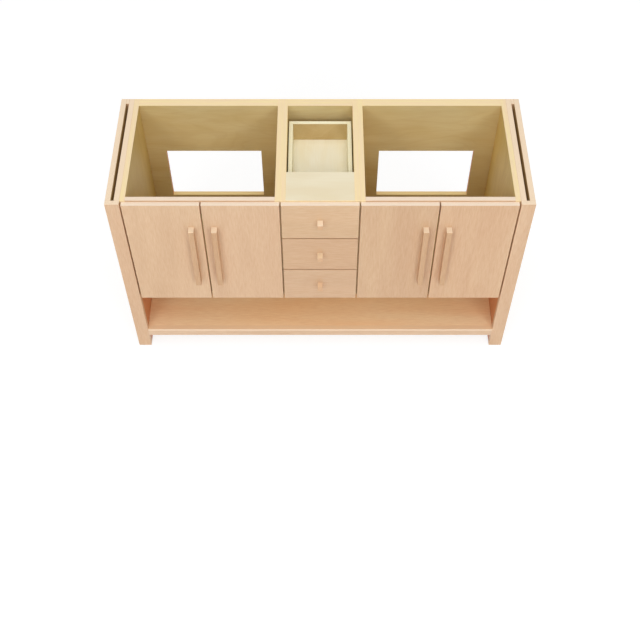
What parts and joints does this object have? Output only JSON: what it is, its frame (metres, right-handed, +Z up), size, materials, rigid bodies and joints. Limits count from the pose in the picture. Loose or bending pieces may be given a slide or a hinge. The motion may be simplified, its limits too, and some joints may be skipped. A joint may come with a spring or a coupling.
{
  "type": "bathroom vanity cabinet",
  "caption": "Wide wooden bathroom vanity cabinet with slab ends, hinged doors on open-topped sink bays, a central drawer stack and an open lower shelf.",
  "frame": {"origin": "on the floor, under the middle of the whole object's box, pulls included", "axes": "+X to the right along the width, +Y from the front to the back, +Z up"},
  "size_m": [1.524, 0.574, 0.876],
  "materials": {
    "finished_maple": "clear matt lacquer on maple veneer",
    "birch_plywood": "clear lacquer on birch plywood",
    "drawer_birch": "clear lacquer on birch plywood",
    "plated_steel": "nickel plated pressed steel",
    "glide_nylon": "moulded nylon",
    "bumper_clear": "soft clear plastic"
  },
  "bodies": {
    "cabinet": {"drawer_cabinet_back": "birch_plywood", "drawer_cabinet_bottom": "birch_plywood", "drawer_cabinet_left_side": "birch_plywood", "drawer_cabinet_right_side": "birch_plywood", "drawer_cabinet_stretcher": "birch_plywood", "drawer_runners": "plated_steel", "end_front_stiles": "finished_maple", "end_rear_spacers": "finished_maple", "floor_glides": "glide_nylon", "front_bumpers": "bumper_clear", "hinge_arms": "plated_steel", "left_cabinet_back": "birch_plywood", "left_cabinet_bottom": "birch_plywood", "left_cabinet_front_rail": "finished_maple", "left_cabinet_inner_side": "birch_plywood", "left_cabinet_outer_side": "birch_plywood", "left_end_inner_panel": "finished_maple", "left_end_outer_panel": "finished_maple", "rear_hanging_rails": "birch_plywood", "right_cabinet_back": "birch_plywood", "right_cabinet_bottom": "birch_plywood", "right_cabinet_front_rail": "finished_maple", "right_cabinet_inner_side": "birch_plywood", "right_cabinet_outer_side": "birch_plywood", "right_end_inner_panel": "finished_maple", "right_end_outer_panel": "finished_maple", "shelf_front_rail": "finished_maple", "shelf_panel": "finished_maple", "shelf_rear_rail": "finished_maple"},
    "left_outer_door": {"left_outer_door_panel": "finished_maple", "left_outer_door_pull": "finished_maple", "left_outer_door_hinge_cups": "plated_steel"},
    "left_outer_door_links": {"left_outer_door_hinge_links": "plated_steel"},
    "left_inner_door": {"left_inner_door_panel": "finished_maple", "left_inner_door_pull": "finished_maple", "left_inner_door_hinge_cups": "plated_steel"},
    "left_inner_door_links": {"left_inner_door_hinge_links": "plated_steel"},
    "right_inner_door": {"right_inner_door_panel": "finished_maple", "right_inner_door_pull": "finished_maple", "right_inner_door_hinge_cups": "plated_steel"},
    "right_inner_door_links": {"right_inner_door_hinge_links": "plated_steel"},
    "right_outer_door": {"right_outer_door_panel": "finished_maple", "right_outer_door_pull": "finished_maple", "right_outer_door_hinge_cups": "plated_steel"},
    "right_outer_door_links": {"right_outer_door_hinge_links": "plated_steel"},
    "top_drawer": {"top_drawer_box": "drawer_birch", "top_drawer_floor": "drawer_birch", "top_drawer_front": "finished_maple", "top_drawer_knob": "finished_maple", "top_drawer_slides": "plated_steel"},
    "middle_drawer": {"middle_drawer_box": "drawer_birch", "middle_drawer_floor": "drawer_birch", "middle_drawer_front": "finished_maple", "middle_drawer_knob": "finished_maple", "middle_drawer_slides": "plated_steel"},
    "bottom_drawer": {"bottom_drawer_box": "drawer_birch", "bottom_drawer_floor": "drawer_birch", "bottom_drawer_front": "finished_maple", "bottom_drawer_knob": "finished_maple", "bottom_drawer_slides": "plated_steel"}
  },
  "joints": [
    {"name": "left_outer_door_swing", "type": "hinge", "parent": "cabinet", "child": "left_outer_door", "pos_m": [-0.704, -0.2575, 0.6015], "axis": [0, 0, -1], "range_deg": [0, 95]},
    {"name": "left_outer_door_link_turn", "type": "hinge", "parent": "left_outer_door", "child": "left_outer_door_links", "pos_m": [-0.683, -0.2425, 0.6015], "axis": [0, 0, -1], "range_deg": [-85, 0]},
    {"name": "left_inner_door_swing", "type": "hinge", "parent": "cabinet", "child": "left_inner_door", "pos_m": [-0.14645, -0.2575, 0.6015], "axis": [0, 0, -1], "range_deg": [-95, 0]},
    {"name": "left_inner_door_link_turn", "type": "hinge", "parent": "left_inner_door", "child": "left_inner_door_links", "pos_m": [-0.16745, -0.2425, 0.6015], "axis": [0, 0, -1], "range_deg": [0, 85]},
    {"name": "right_inner_door_swing", "type": "hinge", "parent": "cabinet", "child": "right_inner_door", "pos_m": [0.14645, -0.2575, 0.6015], "axis": [0, 0, 1], "range_deg": [-95, 0]},
    {"name": "right_inner_door_link_turn", "type": "hinge", "parent": "right_inner_door", "child": "right_inner_door_links", "pos_m": [0.16745, -0.2425, 0.6015], "axis": [0, 0, 1], "range_deg": [0, 85]},
    {"name": "right_outer_door_swing", "type": "hinge", "parent": "cabinet", "child": "right_outer_door", "pos_m": [0.704, -0.2575, 0.6015], "axis": [0, 0, 1], "range_deg": [0, 95]},
    {"name": "right_outer_door_link_turn", "type": "hinge", "parent": "right_outer_door", "child": "right_outer_door_links", "pos_m": [0.683, -0.2425, 0.6015], "axis": [0, 0, 1], "range_deg": [-85, 0]},
    {"name": "top_drawer_slide", "type": "slide", "parent": "cabinet", "child": "top_drawer", "axis": [0, -1, 0], "range_m": [0, 0.34]},
    {"name": "middle_drawer_slide", "type": "slide", "parent": "cabinet", "child": "middle_drawer", "axis": [0, -1, 0], "range_m": [0, 0.34]},
    {"name": "bottom_drawer_slide", "type": "slide", "parent": "cabinet", "child": "bottom_drawer", "axis": [0, -1, 0], "range_m": [0, 0.34]}
  ],
  "couplings": [
    {"joint": "left_outer_door_link_turn", "follows": "left_outer_door_swing", "ratio": -0.889},
    {"joint": "left_inner_door_link_turn", "follows": "left_inner_door_swing", "ratio": -0.889},
    {"joint": "right_inner_door_link_turn", "follows": "right_inner_door_swing", "ratio": -0.889},
    {"joint": "right_outer_door_link_turn", "follows": "right_outer_door_swing", "ratio": -0.889}
  ]
}
